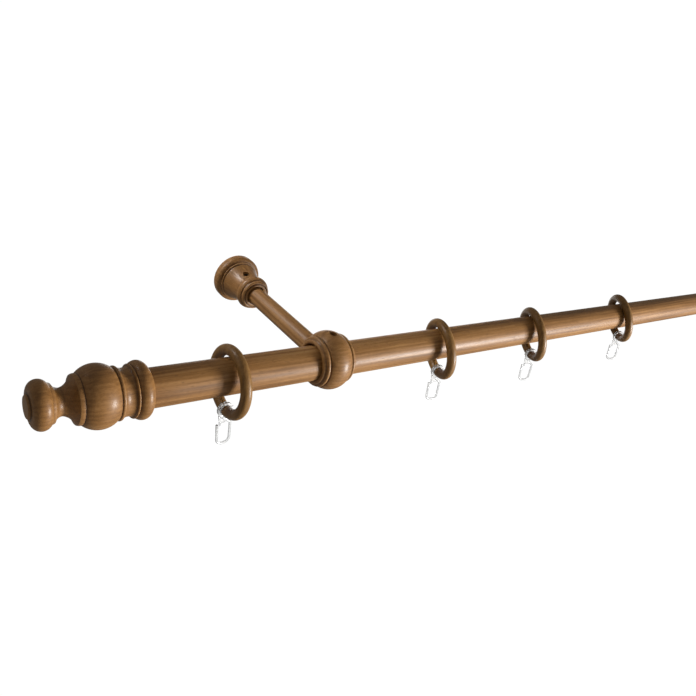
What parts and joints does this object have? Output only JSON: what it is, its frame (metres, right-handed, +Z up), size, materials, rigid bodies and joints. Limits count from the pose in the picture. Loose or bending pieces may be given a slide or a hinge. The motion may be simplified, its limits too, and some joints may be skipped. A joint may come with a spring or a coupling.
{
  "type": "curtain rod with brackets",
  "caption": "Stained wooden curtain rod on turned wall brackets, with turned finials and sliding rings that carry clear swinging hooks.",
  "frame": {"origin": "on the wall, midway between the centres of the two threaded inserts in the brackets' roses", "axes": "+X along the rod to the right as seen from the room, +Y into the wall, +Z up"},
  "size_m": [1.7124, 0.1891, 0.087],
  "materials": {
    "stained_wood": "satin",
    "dark_wood": "satin",
    "clear_plastic": "gloss",
    "zinc_steel": "satin",
    "dark_steel": "satin"
  },
  "bodies": {
    "rod_and_brackets": {"rod": "stained_wood", "left_rose": "stained_wood", "left_rose_insert": "zinc_steel", "left_rose_screw": "dark_steel", "left_arm": "stained_wood", "left_rod_holder": "stained_wood", "left_rod_screw": "dark_steel", "right_rose": "stained_wood", "right_rose_insert": "zinc_steel", "right_rose_screw": "dark_steel", "right_arm": "stained_wood", "right_rod_holder": "stained_wood", "right_rod_screw": "dark_steel"},
    "ring_1": {"ring_1": "dark_wood"},
    "hook_1": {"hook_1": "clear_plastic"},
    "ring_2": {"ring_2": "dark_wood"},
    "hook_2": {"hook_2": "clear_plastic"},
    "ring_3": {"ring_3": "dark_wood"},
    "hook_3": {"hook_3": "clear_plastic"},
    "ring_4": {"ring_4": "dark_wood"},
    "hook_4": {"hook_4": "clear_plastic"},
    "ring_5": {"ring_5": "dark_wood"},
    "hook_5": {"hook_5": "clear_plastic"},
    "ring_6": {"ring_6": "dark_wood"},
    "hook_6": {"hook_6": "clear_plastic"},
    "ring_7": {"ring_7": "dark_wood"},
    "hook_7": {"hook_7": "clear_plastic"},
    "ring_8": {"ring_8": "dark_wood"},
    "hook_8": {"hook_8": "clear_plastic"},
    "ring_9": {"ring_9": "dark_wood"},
    "hook_9": {"hook_9": "clear_plastic"},
    "ring_10": {"ring_10": "dark_wood"},
    "hook_10": {"hook_10": "clear_plastic"},
    "left_finial": {"left_finial": "stained_wood"},
    "right_finial": {"right_finial": "stained_wood"}
  },
  "joints": [
    {"name": "ring_1_slide", "type": "slide", "parent": "rod_and_brackets", "child": "ring_1", "axis": [1, 0, 0], "range_m": [-0.0543, 0.0618]},
    {"name": "hook_1_swing", "type": "hinge", "parent": "ring_1", "child": "hook_1", "pos_m": [-0.7166, -0.16, -0.03095], "axis": [0, 1, 0], "range_deg": [-70, 70]},
    {"name": "ring_2_slide", "type": "slide", "parent": "rod_and_brackets", "child": "ring_2", "axis": [1, 0, 0], "range_m": [-0.0995, 0.0533]},
    {"name": "hook_2_swing", "type": "hinge", "parent": "ring_2", "child": "hook_2", "pos_m": [-0.49609, -0.16301, -0.02989], "axis": [0.299, 0.9542, 0], "range_deg": [-70, 70]},
    {"name": "ring_3_slide", "type": "slide", "parent": "rod_and_brackets", "child": "ring_3", "axis": [1, 0, 0], "range_m": [-0.0503, 0.0664]},
    {"name": "hook_3_swing", "type": "hinge", "parent": "ring_3", "child": "hook_3", "pos_m": [-0.36016, -0.16573, -0.02885], "axis": [0.4258, 0.9048, 0], "range_deg": [-70, 70]},
    {"name": "ring_4_slide", "type": "slide", "parent": "rod_and_brackets", "child": "ring_4", "axis": [1, 0, 0], "range_m": [-0.0643, 0.1119]},
    {"name": "hook_4_swing", "type": "hinge", "parent": "ring_4", "child": "hook_4", "pos_m": [-0.19279, -0.16545, -0.02666], "axis": [0.509, 0.8607, 0], "range_deg": [-70, 70]},
    {"name": "ring_5_slide", "type": "slide", "parent": "rod_and_brackets", "child": "ring_5", "axis": [1, 0, 0], "range_m": [-0.1219, 0.049]},
    {"name": "hook_5_swing", "type": "hinge", "parent": "ring_5", "child": "hook_5", "pos_m": [0.062, -0.16, -0.03095], "axis": [0, 1, 0], "range_deg": [-70, 70]},
    {"name": "ring_6_slide", "type": "slide", "parent": "rod_and_brackets", "child": "ring_6", "axis": [1, 0, 0], "range_m": [-0.049, 0.049]},
    {"name": "hook_6_swing", "type": "hinge", "parent": "ring_6", "child": "hook_6", "pos_m": [0.178, -0.16, -0.03095], "axis": [-0.1564, 0.9877, 0], "range_deg": [-70, 70]},
    {"name": "ring_7_slide", "type": "slide", "parent": "rod_and_brackets", "child": "ring_7", "axis": [1, 0, 0], "range_m": [-0.049, 0.049]},
    {"name": "hook_7_swing", "type": "hinge", "parent": "ring_7", "child": "hook_7", "pos_m": [0.294, -0.16, -0.03095], "axis": [0.1045, 0.9945, 0], "range_deg": [-70, 70]},
    {"name": "ring_8_slide", "type": "slide", "parent": "rod_and_brackets", "child": "ring_8", "axis": [1, 0, 0], "range_m": [-0.0482, 0.0482]},
    {"name": "hook_8_swing", "type": "hinge", "parent": "ring_8", "child": "hook_8", "pos_m": [0.41, -0.16, -0.03095], "axis": [-0.2079, 0.9781, 0], "range_deg": [-70, 70]},
    {"name": "ring_9_slide", "type": "slide", "parent": "rod_and_brackets", "child": "ring_9", "axis": [1, 0, 0], "range_m": [-0.049, 0.0792]},
    {"name": "hook_9_swing", "type": "hinge", "parent": "ring_9", "child": "hook_9", "pos_m": [0.526, -0.16, -0.03095], "axis": [0, 1, 0], "range_deg": [-70, 70]},
    {"name": "ring_10_slide", "type": "slide", "parent": "rod_and_brackets", "child": "ring_10", "axis": [1, 0, 0], "range_m": [-0.0618, 0.0543]},
    {"name": "hook_10_swing", "type": "hinge", "parent": "ring_10", "child": "hook_10", "pos_m": [0.7166, -0.16, -0.03095], "axis": [0, 1, 0], "range_deg": [-70, 70]},
    {"name": "left_finial_pull", "type": "slide", "parent": "rod_and_brackets", "child": "left_finial", "axis": [-1, 0, 0], "range_m": [0, 0.035]},
    {"name": "right_finial_pull", "type": "slide", "parent": "rod_and_brackets", "child": "right_finial", "axis": [1, 0, 0], "range_m": [0, 0.035]}
  ]
}
